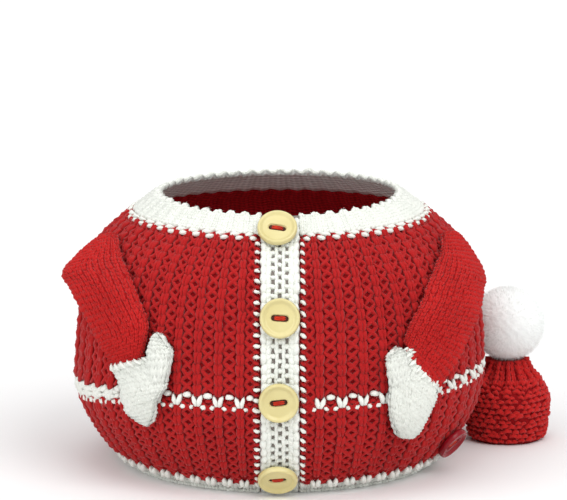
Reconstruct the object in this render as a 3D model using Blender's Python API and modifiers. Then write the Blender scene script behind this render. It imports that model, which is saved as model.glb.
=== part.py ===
"""A knitted cardigan tea cosy with its own little hat, as closed solids.

The cosy stands on its hem, +Z up, with its button band towards -Y. Sizes are in metres. Angles round
the body are in degrees, from the middle of the front (0) towards the handle's side (+90, +X).
"""
import math
from collections import namedtuple

import bmesh
import bpy
from mathutils import Matrix, Vector

# ---- Driving dimensions ----
BODY_X = -0.0155
BODY_Y = 0.0025
GAP = 0.0004
WELD = 0.00002
CLOTH = 0.0025
UNEVEN = 0.0007

RIB_RISE = 0.0010
FRONT_RIBS = 12.5
FRONT_REACH = 82.8
BACK_RIBS = 26
HEM_EDGING = 0.0080
HEM_UPRIGHT = 0.0016

NECK_SEAM = 0.1190
NECK_SEAM_RISE = 0.0015
NECK_TOP = 0.1280
NECK_RIBS = 48
NECK_RIB_RISE = 0.0007
NECK_SCALLOP = 0.0007
NECK_THICKNESS = 0.0028

BAND_HALF = 0.0088
BAND_RISE = 0.0009
BAND_COLUMNS = 10

SLEEVE_THICKNESS = 0.0050
MITTEN_THICKNESS = 0.0062
LYING_LIFT = 0.0014
CUFF_GAP = 0.0006
LOFT_ROWS = 2
LOFT_RING = 18

BUTTON_RADIUS = 0.0092
SIDE_BUTTON_RADIUS = 0.0082
BUTTON_THICKNESS = 0.0032
BUTTON_HOLE_RADIUS = 0.0009
BUTTON_HOLE_REACH = 0.0018
BUTTON_SEGMENTS = 20

HAT_BEARING = 110.0
HAT_CLEARANCE = -0.0005
HAT_WALL = 0.0030
HAT_COLUMNS = 28
HAT_RIDGES = 8
HAT_RIDGE_RISE = 0.0007
HAT_GATHERS = 14
HAT_GATHER_RISE = 0.0007
HAT_GATHER_START = 0.0270
HAT_GATHER_FADE = 0.0040
HAT_CROWN_DIP = 0.0022
HAT_CROWN_HALF = 0.0060

POMPOM_RADIUS = 0.0184
POMPOM_CORE = 0.0140
POMPOM_CENTRE = 0.0562
POMPOM_RINGS = 10
POMPOM_SEGMENTS = 13
LOCK_PARTING = 0.0004
LOCK_TIP_SHARE = 0.62

Level = namedtuple("Level", "height radius")
BODY_WALL = (
    Level(0.0000, 0.0716),
    Level(0.0016, 0.0716),
    Level(0.0055, 0.0768),
    Level(0.0110, 0.0818),
    Level(0.0180, 0.0868),
    Level(0.0300, 0.0930),
    Level(0.0420, 0.0957),
    Level(0.0560, 0.0964),
    Level(0.0680, 0.0960),
    Level(0.0800, 0.0944),
    Level(0.0900, 0.0917),
    Level(0.0980, 0.0883),
    Level(0.1050, 0.0838),
    Level(0.1110, 0.0778),
    Level(0.1180, 0.0695),
    Level(0.1280, 0.0570),
)
PANEL_ROWS = (0.0, 0.0016, 0.0060, 0.0120, 0.0200, 0.0300, 0.0420, 0.0550, 0.0680, 0.0800, 0.0900,
              0.0980, 0.1050, 0.1120, NECK_SEAM)
HAT_WALL_LEVELS = (
    Level(0.0000, 0.0176),
    Level(0.0040, 0.0192),
    Level(0.0110, 0.0202),
    Level(0.0180, 0.0205),
    Level(0.0240, 0.0196),
    Level(0.0290, 0.0165),
    Level(0.0330, 0.0128),
    Level(0.0392, 0.0096),
)

# A slit lies between a front panel and the back, from its foot to its top.
Slit = namedtuple("Slit", "bearing foot top half_width")
SPOUT_SLIT = Slit(bearing=-90.0, foot=0.0420, top=0.1120, half_width=0.0175)
HANDLE_SLIT = Slit(bearing=90.0, foot=0.0460, top=0.1140, half_width=0.0120)

# One row for each line across a sleeve or mitten: the angle and height on the body of the edge nearer
# the band and of the edge nearer the side, and how much fuller it is at the edge nearer the side.
Across = namedtuple("Across", "near_angle near_height far_angle far_height fullness", defaults=(0.0,))
SLEEVE_LEFT = (
    Across(-69.6, 0.1110, -75.6, 0.1030, 0.0030),
    Across(-61.2, 0.1071, -77.6, 0.0960, 0.0070),
    Across(-55.6, 0.1036, -78.8, 0.0881, 0.0100),
    Across(-48.4, 0.0979, -73.6, 0.0843, 0.0065),
    Across(-42.4, 0.0897, -65.2, 0.0762, 0.0020),
    Across(-37.9, 0.0808, -58.0, 0.0672),
    Across(-38.2, 0.0713, -53.6, 0.0617),
    Across(-39.0, 0.0641, -50.4, 0.0569),
)
SLEEVE_RIGHT = (
    Across(69.2, 0.1107, 80.8, 0.1074),
    Across(61.6, 0.1066, 83.6, 0.0996),
    Across(54.0, 0.1024, 84.0, 0.0880, 0.0010),
    Across(47.2, 0.0962, 77.2, 0.0827, 0.0005),
    Across(42.0, 0.0886, 70.0, 0.0756),
    Across(37.6, 0.0819, 62.4, 0.0686),
    Across(35.6, 0.0776, 55.6, 0.0593),
    Across(34.4, 0.0735, 47.2, 0.0487),
)
PALM_LEFT = (
    Across(-37.2, 0.0647, -50.0, 0.0567),
    Across(-32.8, 0.0608, -48.4, 0.0527),
    Across(-30.4, 0.0549, -47.2, 0.0476),
    Across(-32.0, 0.0499, -46.4, 0.0424),
    Across(-34.0, 0.0450, -45.6, 0.0382),
    Across(-35.2, 0.0402, -42.8, 0.0363),
    Across(-37.2, 0.0359, -40.8, 0.0349),
)
THUMB_LEFT = (
    Across(-30.4, 0.0558, -37.6, 0.0561),
    Across(-29.2, 0.0655, -37.6, 0.0632),
    Across(-29.2, 0.0704, -37.2, 0.0691),
    Across(-30.8, 0.0736, -36.6, 0.0735),
    Across(-32.8, 0.0769, -35.8, 0.0761),
)
PALM_RIGHT = (
    Across(34.4, 0.0713, 46.4, 0.0483),
    Across(30.4, 0.0681, 46.0, 0.0453),
    Across(28.8, 0.0626, 44.8, 0.0420),
    Across(29.2, 0.0549, 43.6, 0.0382),
    Across(29.2, 0.0466, 42.4, 0.0347),
    Across(30.4, 0.0387, 41.2, 0.0312),
    Across(33.2, 0.0316, 40.0, 0.0285),
)
THUMB_RIGHT = (
    Across(36.4, 0.0579, 29.2, 0.0549),
    Across(35.6, 0.0648, 28.4, 0.0645),
    Across(34.4, 0.0690, 28.8, 0.0684),
    Across(32.8, 0.0714, 30.8, 0.0707),
)

# A button's middle on the body and how far it stands off, then the bearing and tilt that it faces.
Sewn = namedtuple("Sewn", "name angle height lift bearing tilt")
CREAM_BUTTONS = (
    Sewn("button_1", -1.0, 0.1212, 0.0032, -1.0, 46.0),
    Sewn("button_2", 0.0, 0.0866, 0.0026, 0.0, 15.0),
    Sewn("button_3", -0.3, 0.0489, 0.0027, -0.3, -4.0),
    Sewn("button_4", -0.7, 0.0108, 0.0026, -0.7, -40.0),
)
SIDE_BUTTON = Sewn("side_button", 66.0, 0.0168, 0.0032, 58.0, -36.0)


# ---- Shape of the body ----
def smoothRadius(levels, height):
    """The radius at a height, on a smooth curve through the levels."""
    height = min(max(height, levels[0].height), levels[-1].height)
    below = max(i for i in range(len(levels) - 1) if levels[i].height <= height)

    def slope(i):
        low = levels[max(i - 1, 0)]
        high = levels[min(i + 1, len(levels) - 1)]
        return (high.radius - low.radius) / (high.height - low.height)

    start, end = levels[below], levels[below + 1]
    span = end.height - start.height
    t = (height - start.height) / span
    return ((2 * t ** 3 - 3 * t ** 2 + 1) * start.radius + (t ** 3 - 2 * t ** 2 + t) * span * slope(below)
            + (3 * t ** 2 - 2 * t ** 3) * end.radius + (t ** 3 - t ** 2) * span * slope(below + 1))


def bodyRadius(height):
    return smoothRadius(BODY_WALL, height)


def bodyNormal(height):
    """The outward direction of the wall, as (sideways, up)."""
    reach = 0.0010
    rise = bodyRadius(height + reach) - bodyRadius(height - reach)
    return Vector((2 * reach, -rise)).normalized()


def hemFade(height):
    """The share of its relief that the cloth keeps, none at the upright edge that it stands on."""
    return min(max(height - HEM_UPRIGHT, 0.0) / HEM_EDGING, 1.0)


def onBody(angle, height, lift=0.0):
    """A point that stands off the body's wall by lift."""
    turn = math.radians(angle)
    uneven = UNEVEN * math.sin(3 * turn + 0.8) * hemFade(height)
    normal = bodyNormal(height)
    radius = bodyRadius(height) + uneven + lift * normal.x
    return Vector((BODY_X + radius * math.sin(turn), BODY_Y - radius * math.cos(turn),
                   height + lift * normal.y))


def degreesAt(length, height):
    return math.degrees(length / bodyRadius(height))


def neckSeam(angle):
    """The height of the seam between the red cloth and the neckband."""
    return NECK_SEAM + NECK_SEAM_RISE * math.cos(math.radians(angle))


def slitHalf(slit, height):
    """Half the width of a slit, which the pot's spout or handle spreads."""
    share = (height - slit.foot) / (slit.top - slit.foot)
    if not 0.0 < share < 1.0:
        return 0.0
    return slit.half_width * math.sin(math.pi * share ** 0.85) ** 0.7


def slitEdge(slit, height, side):
    """The angle of the cloth's edge at a slit and at the side seam under it."""
    return slit.bearing + side * degreesAt(slitHalf(slit, height) + GAP / 2, height)


def bandEdge(height, side, clearance=0.0):
    return side * degreesAt(BAND_HALF + clearance, height)


# ---- Building blocks ----
def makeMaterial(name, colour, roughness):
    material = bpy.data.materials.new(name)
    material.use_nodes = True
    shader = material.node_tree.nodes["Principled BSDF"]
    shader.inputs["Base Color"].default_value = (*colour, 1.0)
    shader.inputs["Roughness"].default_value = roughness
    shader.inputs["Metallic"].default_value = 0.0
    return material


def makeObject(name, mesh, material, group):
    thing = bpy.data.objects.new(name, mesh)
    mesh.materials.clear()
    mesh.materials.append(material)
    mesh.shade_smooth()
    group.objects.link(thing)
    return thing


def gridMesh(name, columns, rows, place):
    """A grid of columns by rows, each point placed from its two shares, 0 to 1."""
    bm = bmesh.new()
    bmesh.ops.create_grid(bm, x_segments=columns, y_segments=rows, size=0.5)
    for vert in bm.verts:
        vert.co = place(vert.co.x + 0.5, vert.co.y + 0.5)
    return bm


def finish(bm, name):
    bmesh.ops.recalc_face_normals(bm, faces=bm.faces)
    mesh = bpy.data.meshes.new(name)
    bm.to_mesh(mesh)
    bm.free()
    return mesh


def addCloth(name, columns, rows, place, thickness, material, group):
    """An open sheet thickened inwards."""
    bm = gridMesh(name, columns, rows, place)
    mesh = bpy.data.meshes.new(name)
    bm.to_mesh(mesh)
    bm.free()
    thing = makeObject(name, mesh, material, group)
    shell = thing.modifiers.new("Cloth", "SOLIDIFY")
    shell.thickness = thickness
    shell.offset = -1.0
    shell.use_even_offset = False
    return thing


def readEvaluated(thing, name):
    depsgraph = bpy.context.evaluated_depsgraph_get()
    mesh = bpy.data.meshes.new_from_object(thing.evaluated_get(depsgraph))
    mesh.name = name
    return mesh


def hideCutter(cutter):
    cutter.hide_render = True
    cutter.display_type = "WIRE"


# ---- Panels, band and neckband ----
def ribbing(share, ribs, rise, first=0.5):
    """Raised ribs, the first of them standing `first` ribs in from the edge where the share is 0."""
    along = max(ribs * share - first, -0.5)
    return rise * (0.5 + 0.5 * math.cos(2 * math.pi * along))


def addPanel(name, columns, bearing, relief, material, group):
    """A ribbed panel, its points at the angle bearing(across, height) and raised by relief(across)."""
    rows = len(PANEL_ROWS) - 1

    def place(across, up):
        row = PANEL_ROWS[round(up * rows)]
        top = neckSeam(bearing(across, row)) - GAP / 2
        height = row + (top - NECK_SEAM) * (row / NECK_SEAM) ** 2
        return onBody(bearing(across, height), height, relief(across) * hemFade(height))

    return addCloth(name, columns, rows, place, CLOTH, material, group)


def addFront(name, side, slit, material, group):
    """A front panel, its ribs even near the band and pulled out towards the slit and side seam."""
    def fromBand(across):
        return across if side > 0 else 1.0 - across

    def bearing(across, height):
        share = fromBand(across)
        edge = bandEdge(height, side, GAP)
        reach = side * FRONT_REACH
        pull = slitEdge(slit, height, -side) - reach
        return edge + share * (reach - edge) + share ** 3 * pull

    def relief(across):
        return ribbing(fromBand(across), FRONT_RIBS, RIB_RISE, 1.0)

    return addPanel(name, round(FRONT_RIBS * 2), bearing, relief, material, group)


def addBack(name, material, group):
    """The back panel, from the handle's slit round to the spout's."""
    def bearing(across, height):
        start = slitEdge(HANDLE_SLIT, height, 1)
        return start + across * (360.0 + slitEdge(SPOUT_SLIT, height, -1) - start)

    def relief(across):
        return ribbing(across, BACK_RIBS, RIB_RISE)

    return addPanel(name, BACK_RIBS * 2, bearing, relief, material, group)


def addBand(material, group):
    """The button band, from the hem to the neck, with a raised edge each side."""
    stretch = NECK_SEAM_RISE / NECK_SEAM ** 2
    heights = [row + stretch * row ** 2 for row in PANEL_ROWS] + [NECK_TOP]
    rows = len(heights) - 1

    def place(across, up):
        height = heights[round(up * rows)]
        angle = bandEdge(height, 2 * across - 1)
        inner = abs(2 * across - 1)
        edge = BAND_RISE if 0.5 < inner < 0.9 else 0.0
        return onBody(angle, height, edge * hemFade(height))

    return addCloth("button_band", BAND_COLUMNS, rows, place, CLOTH, material, group)


def addNeckband(material, group):
    """The neckband, a ring open at the button band, with a scalloped top."""
    rows = 3

    def place(around, up):
        scallop = NECK_SCALLOP * math.cos(2 * math.pi * NECK_RIBS * around) * up
        middle = neckSeam(180.0 + 360.0 * (around - 0.5))
        low = middle + GAP / 2
        height = low + (NECK_TOP + scallop - low) * up
        edge = bandEdge(height, 1.0, GAP)
        angle = edge + around * (360.0 - 2 * edge)
        return onBody(angle, height, ribbing(around, NECK_RIBS, NECK_RIB_RISE))

    return addCloth("neckband", NECK_RIBS * 2, rows, place, NECK_THICKNESS, material, group)


# ---- Sleeves and mittens ----
def blend(values, share):
    """A smooth curve through a row of numbers."""
    place = min(share * (len(values) - 1), len(values) - 1.0001)
    i = int(place)
    t = place - i
    before = values[max(i - 1, 0)]
    start, end = values[i], values[i + 1]
    after = values[min(i + 2, len(values) - 1)]
    return 0.5 * (2 * start + (end - before) * t + (2 * before - 5 * start + 4 * end - after) * t ** 2
                  + (3 * start - before - 3 * end + after) * t ** 3)


def acrossAt(table, share):
    return Across(*(blend(column, share) for column in zip(*table)))


def addLoft(name, table, thickness, material, group):
    """A flat tube that lies on the body, closed at both ends."""
    rows = LOFT_ROWS * (len(table) - 1)

    def place(around, along):
        line = acrossAt(table, along)
        turn = 2 * math.pi * around
        across = 0.5 - 0.5 * math.cos(turn)
        angle = line.near_angle + across * (line.far_angle - line.near_angle)
        height = line.near_height + across * (line.far_height - line.near_height)
        depth = math.copysign(abs(math.sin(turn)) ** 0.6, math.sin(turn))
        full = thickness + line.fullness * across
        return onBody(angle, height, LYING_LIFT + full * (0.5 + 0.5 * depth))

    bm = gridMesh(name, LOFT_RING, rows, place)
    bmesh.ops.remove_doubles(bm, verts=bm.verts, dist=WELD)
    ends = [edge for edge in bm.edges if edge.is_boundary]
    bmesh.ops.holes_fill(bm, edges=ends)
    return makeObject(name, finish(bm, name), material, group)


def pulledFromCuff(table):
    """The palm's first line, drawn back from the sleeve by the cuff's gap."""
    first, second = table[0], table[1]

    def towards(angle, height, next_angle, next_height):
        step = Vector((math.radians(next_angle - angle) * bodyRadius(height), next_height - height))
        move = step.normalized() * CUFF_GAP
        return angle + degreesAt(move.x, height), height + move.y

    near = towards(first.near_angle, first.near_height, second.near_angle, second.near_height)
    far = towards(first.far_angle, first.far_height, second.far_angle, second.far_height)
    return (Across(*near, *far),) + tuple(table[1:])


def addMitten(name, palm, thumb, material, group, cutters):
    """A palm joined with its thumb."""
    hand = addLoft(name, pulledFromCuff(palm), MITTEN_THICKNESS, material, group)
    digit = addLoft(name + "_thumb", thumb, MITTEN_THICKNESS, material, cutters)
    hideCutter(digit)
    join = hand.modifiers.new("Thumb", "BOOLEAN")
    join.operation = "UNION"
    join.solver = "EXACT"
    join.object = digit
    return hand


# ---- Buttons ----
def buttonMesh(name, radius, material, group, cutters):
    """A turned, dished disc with two thread holes, its face to +Z."""
    half = BUTTON_THICKNESS / 2
    profile = ((0.0, half * 0.35), (radius * 0.58, half * 0.45), (radius * 0.74, half), (radius * 0.88, half),
               (radius, half * 0.25), (radius, -half * 0.35), (radius * 0.86, -half), (0.0, -half))
    mesh = bpy.data.meshes.new(name)
    mesh.from_pydata([(x, 0.0, z) for x, z in profile], [(i, i + 1) for i in range(len(profile) - 1)], [])
    blank = makeObject(name, mesh, material, group)
    turning = blank.modifiers.new("Turning", "SCREW")
    turning.steps = turning.render_steps = BUTTON_SEGMENTS
    turning.use_merge_vertices = True
    turning.merge_threshold = WELD
    for side in (-1, 1):
        bm = bmesh.new()
        bmesh.ops.create_cone(bm, cap_ends=True, segments=10, radius1=BUTTON_HOLE_RADIUS,
                              radius2=BUTTON_HOLE_RADIUS, depth=BUTTON_THICKNESS * 2,
                              matrix=Matrix.Translation((side * BUTTON_HOLE_REACH, 0.0, 0.0)))
        drill = makeObject(f"{name}_drill", finish(bm, f"{name}_drill"), material, cutters)
        hideCutter(drill)
        hole = blank.modifiers.new("Hole", "BOOLEAN")
        hole.operation = "DIFFERENCE"
        hole.solver = "EXACT"
        hole.object = drill
    made = readEvaluated(blank, name)
    bpy.data.objects.remove(blank)
    return made


def addButton(sewn, mesh, material, group):
    """A button on the body, its face turned to its bearing and tilt."""
    thing = makeObject(sewn.name, mesh, material, group)
    facing = Matrix.Rotation(math.radians(sewn.bearing), 4, "Z") @ Matrix.Rotation(
        math.radians(90.0 - sewn.tilt), 4, "X")
    thing.matrix_world = Matrix.Translation(onBody(sewn.angle, sewn.height, sewn.lift)) @ facing
    return thing


# ---- Hat and pompom ----
def hatRidges(height):
    """Purl ridges round the hat, which end where the gathers start."""
    gathered = min(max((height - HAT_GATHER_START) / HAT_GATHER_FADE, 0.0), 1.0)
    span = HAT_WALL_LEVELS[-1].height / HAT_RIDGES
    return HAT_RIDGE_RISE * (0.5 - 0.5 * math.cos(2 * math.pi * height / span)) * (1 - gathered), gathered


def addHat(centre, material, group):
    """A hollow cap, open below, its top drawn in under the pompom."""
    top = HAT_WALL_LEVELS[-1].height
    outer_rows = HAT_RIDGES * 2
    crown = [(0.0, top - HAT_CROWN_DIP), (HAT_CROWN_HALF, top - HAT_CROWN_DIP / 2)]
    outside = [(None, top * (1 - i / outer_rows)) for i in range(outer_rows + 1)]
    inside = [(None, top * share) for share in (0.0, 0.15, 0.40, 0.60, 0.75, 0.86)]
    roof = [(0.0, top - HAT_CROWN_DIP - HAT_WALL)]
    path = [(False, *spot) for spot in crown + outside] + [(True, *spot) for spot in inside + roof]

    def place(around, along):
        inner, radius, height = path[round(along * (len(path) - 1))]
        turn = 2 * math.pi * around
        if radius is None:
            radius = smoothRadius(HAT_WALL_LEVELS, height)
            if inner:
                radius -= HAT_WALL
            else:
                rise, gathered = hatRidges(height)
                radius += rise + HAT_GATHER_RISE * gathered * math.cos(HAT_GATHERS * turn)
        return centre + Vector((radius * math.cos(turn), radius * math.sin(turn), height))

    bm = gridMesh("hat", HAT_COLUMNS, len(path) - 1, place)
    bmesh.ops.remove_doubles(bm, verts=bm.verts, dist=WELD)
    return makeObject("hat", finish(bm, "hat"), material, group)


def addPompom(centre, material, group):
    """A ball with four-sided locks of yarn, parted at their roots."""
    bm = bmesh.new()
    bmesh.ops.create_uvsphere(bm, u_segments=POMPOM_SEGMENTS, v_segments=POMPOM_RINGS, radius=POMPOM_CORE)
    roots = list(bm.faces)
    bmesh.ops.inset_individual(bm, faces=roots, thickness=LOCK_PARTING)
    tips = bmesh.ops.extrude_discrete_faces(bm, faces=roots)["faces"]
    tips.sort(key=lambda face: [round(value, 5) for value in face.calc_center_median()])
    for i, face in enumerate(tips):
        middle = face.calc_center_median()
        length = POMPOM_RADIUS * (1.0 - 0.05 * ((i * 7) % 5) / 4)
        for vert in face.verts:
            vert.co = middle.normalized() * length + (vert.co - middle) * LOCK_TIP_SHARE
    bmesh.ops.translate(bm, verts=bm.verts, vec=centre + Vector((0.0, 0.0, POMPOM_CENTRE)))
    return makeObject("pompom", finish(bm, "pompom"), material, group)


# ---- The whole cosy ----
def main():
    for thing in list(bpy.data.objects):
        bpy.data.objects.remove(thing)
    group = bpy.data.collections.new("tea_cosy")
    cutters = bpy.data.collections.new("cutters")
    bpy.context.scene.collection.children.link(group)
    bpy.context.scene.collection.children.link(cutters)

    red = makeMaterial("red_yarn", (0.48, 0.015, 0.02), 0.90)
    white = makeMaterial("white_yarn", (0.84, 0.86, 0.80), 0.92)
    fluff = makeMaterial("pompom_yarn", (0.88, 0.89, 0.86), 0.95)
    cream = makeMaterial("cream_button", (0.84, 0.78, 0.45), 0.35)
    gloss = makeMaterial("red_button", (0.45, 0.012, 0.02), 0.25)

    addFront("front_left", -1, SPOUT_SLIT, red, group)
    addFront("front_right", 1, HANDLE_SLIT, red, group)
    addBack("back_panel", red, group)
    addBand(white, group)
    addNeckband(white, group)

    addLoft("sleeve_left", SLEEVE_LEFT, SLEEVE_THICKNESS, red, group)
    addLoft("sleeve_right", SLEEVE_RIGHT, SLEEVE_THICKNESS, red, group)
    addMitten("mitten_left", PALM_LEFT, THUMB_LEFT, white, group, cutters)
    addMitten("mitten_right", PALM_RIGHT, THUMB_RIGHT, white, group, cutters)

    cream_disc = buttonMesh("cream_disc", BUTTON_RADIUS, cream, group, cutters)
    for sewn in CREAM_BUTTONS:
        addButton(sewn, cream_disc, cream, group)
    red_disc = buttonMesh("red_disc", SIDE_BUTTON_RADIUS, gloss, group, cutters)
    addButton(SIDE_BUTTON, red_disc, gloss, group)

    belly = max(level.radius for level in BODY_WALL) + RIB_RISE + UNEVEN
    reach = belly + HAT_CLEARANCE + POMPOM_RADIUS
    turn = math.radians(HAT_BEARING)
    hat_centre = Vector((BODY_X + reach * math.sin(turn), BODY_Y - reach * math.cos(turn), 0.0))
    addHat(hat_centre, red, group)
    addPompom(hat_centre, fluff, group)


main()
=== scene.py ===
import math

import bpy
import numpy as np
from mathutils import Matrix, Vector


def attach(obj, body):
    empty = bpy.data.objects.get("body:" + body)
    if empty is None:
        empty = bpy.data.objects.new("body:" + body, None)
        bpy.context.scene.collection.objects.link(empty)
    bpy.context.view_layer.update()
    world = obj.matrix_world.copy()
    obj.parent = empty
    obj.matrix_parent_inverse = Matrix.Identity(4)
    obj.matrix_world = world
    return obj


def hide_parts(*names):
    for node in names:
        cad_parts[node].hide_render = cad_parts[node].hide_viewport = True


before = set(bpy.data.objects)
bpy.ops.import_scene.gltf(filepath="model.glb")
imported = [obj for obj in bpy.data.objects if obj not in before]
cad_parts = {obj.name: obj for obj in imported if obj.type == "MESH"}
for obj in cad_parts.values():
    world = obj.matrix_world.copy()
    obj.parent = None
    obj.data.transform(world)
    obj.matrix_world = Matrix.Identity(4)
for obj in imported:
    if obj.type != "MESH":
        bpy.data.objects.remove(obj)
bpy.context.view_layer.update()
print("frame loaded:", len(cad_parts), "nodes")

# The cosy stands on its hem. Angles run from the middle of the front, 0, towards the handle, 90.
body = {
    "axis": (-0.0155, 0.0025),
    "uneven": 0.0007,  # how far the wall swings in and out
    "unevenWaves": 3,
    "unevenTurn": 0.8,
    "hemUpright": 0.0016,
    "hemEdging": 0.0080,
    "neckSeam": 0.1190,
    "neckSeamRise": 0.0015,
    "neckTop": 0.1280,
    "bandHalf": 0.0088,
    "seamGap": 0.0004,
    "levels": (  # height, radius
        (0.0000, 0.0716), (0.0016, 0.0716), (0.0055, 0.0768), (0.0110, 0.0818), (0.0180, 0.0868),
        (0.0300, 0.0930), (0.0420, 0.0957), (0.0560, 0.0964), (0.0680, 0.0960), (0.0800, 0.0944),
        (0.0900, 0.0917), (0.0980, 0.0883), (0.1050, 0.0838), (0.1110, 0.0778), (0.1180, 0.0695),
        (0.1280, 0.0570)),
}
spoutSlit = {"bearing": -90.0, "foot": 0.0420, "top": 0.1120, "halfWidth": 0.0175}
handleSlit = {"bearing": 90.0, "foot": 0.0460, "top": 0.1140, "halfWidth": 0.0120}


class Flow:  # a socket whose operators add Math nodes
    def __init__(self, tree, socket):
        self.tree = tree
        self.socket = socket

    def math(self, operation, other=None, first=None):
        node = self.tree.nodes.new("ShaderNodeMath")
        node.operation = operation
        feed(self.tree, node.inputs[0], self if first is None else first)
        if other is not None:
            feed(self.tree, node.inputs[1], other)
        return Flow(self.tree, node.outputs[0])

    def __add__(self, other): return self.math("ADD", other)
    def __radd__(self, other): return self.math("ADD", other)
    def __sub__(self, other): return self.math("SUBTRACT", other)
    def __rsub__(self, other): return self.math("SUBTRACT", self, first=other)
    def __mul__(self, other): return self.math("MULTIPLY", other)
    def __rmul__(self, other): return self.math("MULTIPLY", other)


def feed(tree, target, value):
    if isinstance(value, Flow):
        tree.links.new(value.socket, target)
    elif hasattr(value, "__len__") and target.type == "RGBA":
        target.default_value = (*value, 1.0)
    else:
        target.default_value = value


class Surface:  # one material with its Principled shader
    def __init__(self, name, colour, roughness, **fixed):
        self.material = bpy.data.materials.new(name)
        self.material.use_nodes = True
        self.tree = self.material.node_tree
        self.shader = self.tree.nodes["Principled BSDF"]
        self.material.diffuse_color = (*colour, 1.0)
        self.set("Base Color", colour)
        self.set("Roughness", roughness)
        for socket, value in fixed.items():
            self.set(socket.replace("_", " "), value)

    def set(self, socket, value):
        feed(self.tree, self.shader.inputs[socket], value)

    def add(self, kind, settings=None, output=0, **links):
        node = self.tree.nodes.new("ShaderNode" + kind)
        for key, value in (settings or {}).items():
            setattr(node, key, value)
        for key, value in links.items():
            socket = int(key[2:]) if key[:2] == "in" and key[2:].isdigit() else key
            feed(self.tree, node.inputs[socket], value)
        return Flow(self.tree, node.outputs[output])

    def tint(self, share, low, high):  # the base colour, from low where share is 0 to high where it is 1
        self.set("Base Color", self.add("Mix", {"data_type": "RGBA"}, 2, in0=share, in6=low, in7=high))

    def noise(self, scale, detail=2.0):
        return self.add("TexNoise", Vector=self.add("TexCoord", output=3), Scale=scale, Detail=detail)

    def alongYarn(self):  # how far round the yarn and how far along it
        place = self.add("UVMap", {"uv_map": "yarn"})
        return self.add("SeparateXYZ", in0=place), self.add("SeparateXYZ", output=1, in0=place)

    def roughen(self, height, distance, strength, **under):  # under may be another bump's Normal
        self.set("Normal", self.add("Bump", Height=height, Distance=distance, Strength=strength, **under))


def smoothThrough(levels, x):  # a smooth curve through pairs of numbers
    at, value = np.array(levels, float).T
    x = np.clip(x, at[0], at[-1])
    wideAt, wideValue = np.pad(at, 1, "edge"), np.pad(value, 1, "edge")
    slope = (wideValue[2:] - wideValue[:-2]) / (wideAt[2:] - wideAt[:-2])
    i = np.clip(np.searchsorted(at, x, side="right") - 1, 0, len(at) - 2)
    span = at[i + 1] - at[i]
    t = (x - at[i]) / span
    return ((2 * t**3 - 3 * t**2 + 1) * value[i] + (t**3 - 2 * t**2 + t) * span * slope[i]
            + (3 * t**2 - 2 * t**3) * value[i + 1] + (t**3 - t**2) * span * slope[i + 1])


def bodyRadius(height):
    return smoothThrough(body["levels"], height)


def reliefShare(height):  # 0 at the foot of the hem, where the wall stays plain, 1 above its edging
    return np.clip((height - body["hemUpright"]) / body["hemEdging"], 0.0, 1.0)


def onBody(angle, height, lift=0.0):  # points that stand off the wall by lift
    turn = np.radians(angle)
    reach = 0.0010  # to either side, for the slope of the wall
    rise = bodyRadius(height + reach) - bodyRadius(height - reach)
    size = np.hypot(2 * reach, rise)
    uneven = body["uneven"] * np.sin(body["unevenWaves"] * turn + body["unevenTurn"]) * reliefShare(height)
    radius = bodyRadius(height) + uneven + lift * 2 * reach / size
    return np.stack((body["axis"][0] + radius * np.sin(turn), body["axis"][1] - radius * np.cos(turn),
                     np.maximum(height - lift * rise / size, 0.0)), -1)


def degreesAt(length, height):
    return np.degrees(length / bodyRadius(height))


def neckSeam(angle):
    return body["neckSeam"] + body["neckSeamRise"] * np.cos(np.radians(angle))


def slitEdge(slit, height, side):  # a slit is widest a little below its middle
    share = np.clip((height - slit["foot"]) / (slit["top"] - slit["foot"]), 0.0, 1.0)
    half = slit["halfWidth"] * np.maximum(np.sin(np.pi * share**0.85), 0.0) ** 0.7
    return slit["bearing"] + side * degreesAt(half + body["seamGap"] / 2, height)


def bandEdge(height, side, clearance=0.0):
    return side * degreesAt(body["bandHalf"] + clearance, height)


def runOf(heights, radii):  # the distance along a profile
    return np.concatenate(([0.0], np.cumsum(np.hypot(np.diff(heights), np.diff(radii)))))


fineHeights = np.linspace(0.0, body["neckSeam"], 600)
fineRun = runOf(fineHeights, bodyRadius(fineHeights))


def meshFromArrays(name, points, triangles, uv=None, kinds=None):
    def fill(target, key, values, kind=np.int32):
        target.foreach_set(key, np.ascontiguousarray(values, kind).ravel())

    mesh = bpy.data.meshes.new(name)
    mesh.vertices.add(len(points))
    fill(mesh.vertices, "co", points, np.float32)
    mesh.loops.add(len(triangles) * 3)
    fill(mesh.loops, "vertex_index", triangles)
    mesh.polygons.add(len(triangles))
    fill(mesh.polygons, "loop_start", np.arange(len(triangles)) * 3)
    if kinds is not None:
        fill(mesh.polygons, "material_index", kinds)
    if uv is not None:
        fill(mesh.uv_layers.new(name="yarn").data, "uv", uv, np.float32)
    mesh.update(calc_edges=True)
    mesh.shade_smooth()
    return mesh


def addObject(name, data):
    added = bpy.data.objects.new(name, data)
    bpy.context.scene.collection.objects.link(added)
    return added


def addPiece(name, arrays, surfaces, slot, *replaced):
    piece = addObject(name, meshFromArrays(name, *arrays))
    for surface in surfaces if isinstance(surfaces, (list, tuple)) else [surfaces]:
        piece.data.materials.append(surface.material)
    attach(piece, "root")
    if replaced:
        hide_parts(*replaced)
    return piece


def gridTriangles(columns, rows, across):  # on lines of `across` points, which may close in a ring
    c, r = np.meshgrid(np.arange(columns), np.arange(rows))
    a = (r * across + c).ravel()
    b = (r * across + (c + 1) % across).ravel()
    return np.concatenate((np.stack((a, b, b + across), -1), np.stack((a, b + across, a + across), -1)))


def fan(tip, start, sides, turned=False):  # triangles from one point to a ring of points
    near, far = start + np.arange(sides), start + (np.arange(sides) + 1) % sides
    return np.stack((np.full(sides, tip), far, near) if turned else (np.full(sides, tip), near, far), -1)


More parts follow.
